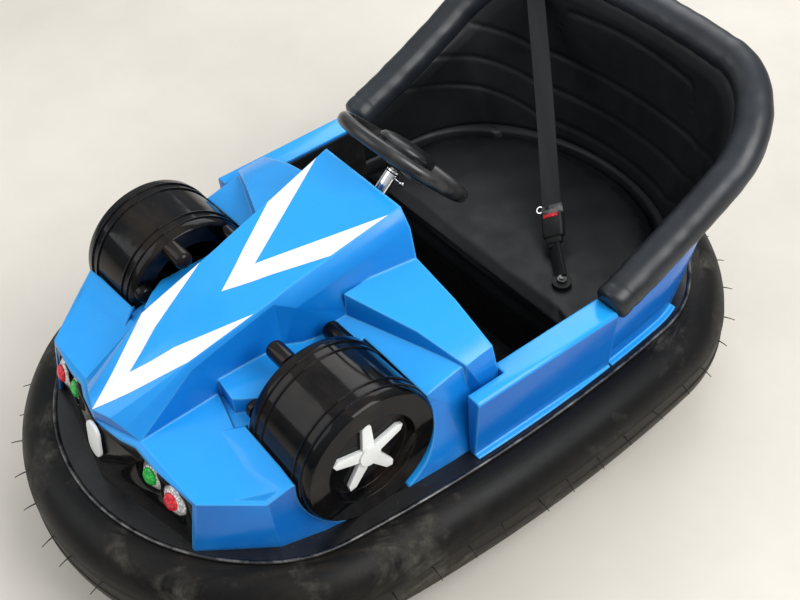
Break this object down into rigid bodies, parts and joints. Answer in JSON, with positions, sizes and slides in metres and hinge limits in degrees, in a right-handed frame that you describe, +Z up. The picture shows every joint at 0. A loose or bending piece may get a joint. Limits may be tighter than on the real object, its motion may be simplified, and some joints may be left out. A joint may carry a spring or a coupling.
{
  "type": "bumper car",
  "caption": "Battery bumper car with a moulded racing-car body, rubber bumper ring, padded tub seat, seat belt and a steered drive unit.",
  "frame": {"origin": "centre of the car's plan box on the floor under the three wheels", "axes": "+Z up, the nose points along -Y, +X is the car's left side"},
  "size_m": [1.12, 1.684, 0.8025],
  "materials": {
    "blue_moulding": "glossy moulded panel, lightly scuffed",
    "black_moulding": "gloss black moulding with fine scratches",
    "black_panel": "satin black panel",
    "black_steel": "black paint worn to bare metal on its edges",
    "bare_steel": "plain turned and plate steel",
    "bright_trim": "polished plating",
    "ring_rubber": "black rubber with brown and grey dust",
    "tyre_rubber": "solid black tyre rubber",
    "wheel_casting": "grey cast wheel centre",
    "motor_casting": "dark grey painted motor case",
    "black_vinyl": "padded vinyl with fine grain",
    "webbing": "woven belt webbing",
    "red_lens": "clear red moulded lens",
    "green_lens": "clear green moulded lens",
    "white_trim": "white moulded trim",
    "wheel_rim_plastic": "smooth black moulded rim",
    "battery_case": "plain battery case"
  },
  "bodies": {
    "chassis": {"chassis_frame": "black_steel", "floor_pan": "black_steel", "bumper_rim": "black_steel", "bumper_ring": "ring_rubber", "front_cowl": "blue_moulding", "sill_left": "blue_moulding", "sill_right": "blue_moulding", "rear_shell": "blue_moulding", "fascia": "black_moulding", "lamp_red_left": "red_lens", "lamp_red_right": "red_lens", "lamp_green_left": "green_lens", "lamp_green_right": "green_lens", "lamp_bezels": "bright_trim", "nose_badge": "white_trim", "drum_left": "black_moulding", "drum_right": "black_moulding", "hub_trim_left": "white_trim", "hub_trim_right": "white_trim", "drum_pegs": "black_moulding", "seat_base": "black_panel", "seat_cushion": "black_vinyl", "seat_back": "black_vinyl", "rim_roll": "black_vinyl", "belt_strap": "webbing", "belt_buckle": "black_panel", "belt_anchor": "black_steel", "footwell_panels": "black_panel", "dash_panel": "black_panel", "column_stand": "black_steel", "column_jacket": "bright_trim", "pedal": "black_steel", "drive_bridge": "black_steel", "rear_axle": "bare_steel", "battery_block": "battery_case"},
    "steering": {"steering_shaft": "bare_steel", "steering_wheel": "wheel_rim_plastic", "wheel_pad": "wheel_rim_plastic"},
    "drive_unit": {"drive_fork": "bare_steel", "drive_motor": "motor_casting"},
    "drive_wheel": {"drive_tyre": "tyre_rubber"},
    "rear_wheel_left": {"rear_tyre_left": "tyre_rubber", "rear_hub_left": "wheel_casting"},
    "rear_wheel_right": {"rear_tyre_right": "tyre_rubber", "rear_hub_right": "wheel_casting"}
  },
  "joints": [
    {"name": "drive_swivel", "type": "hinge", "parent": "chassis", "child": "drive_unit", "pos_m": [0, -0.38, 0.2], "axis": [0, 0, 1], "range_deg": [-180, 180]},
    {"name": "steering_turn", "type": "hinge", "parent": "chassis", "child": "steering", "pos_m": [0, 0.084, 0.682], "axis": [0, 0.7431, 0.6691], "range_deg": [-270, 270]},
    {"name": "drive_roll", "type": "hinge", "parent": "drive_unit", "child": "drive_wheel", "pos_m": [0, -0.38, 0.11], "axis": [1, 0, 0], "continuous": true},
    {"name": "rear_roll_left", "type": "hinge", "parent": "chassis", "child": "rear_wheel_left", "pos_m": [0.3, 0.5, 0.09], "axis": [1, 0, 0], "continuous": true},
    {"name": "rear_roll_right", "type": "hinge", "parent": "chassis", "child": "rear_wheel_right", "pos_m": [-0.3, 0.5, 0.09], "axis": [1, 0, 0], "continuous": true}
  ],
  "couplings": [
    {"joint": "steering_turn", "follows": "drive_swivel", "ratio": 1.5}
  ]
}
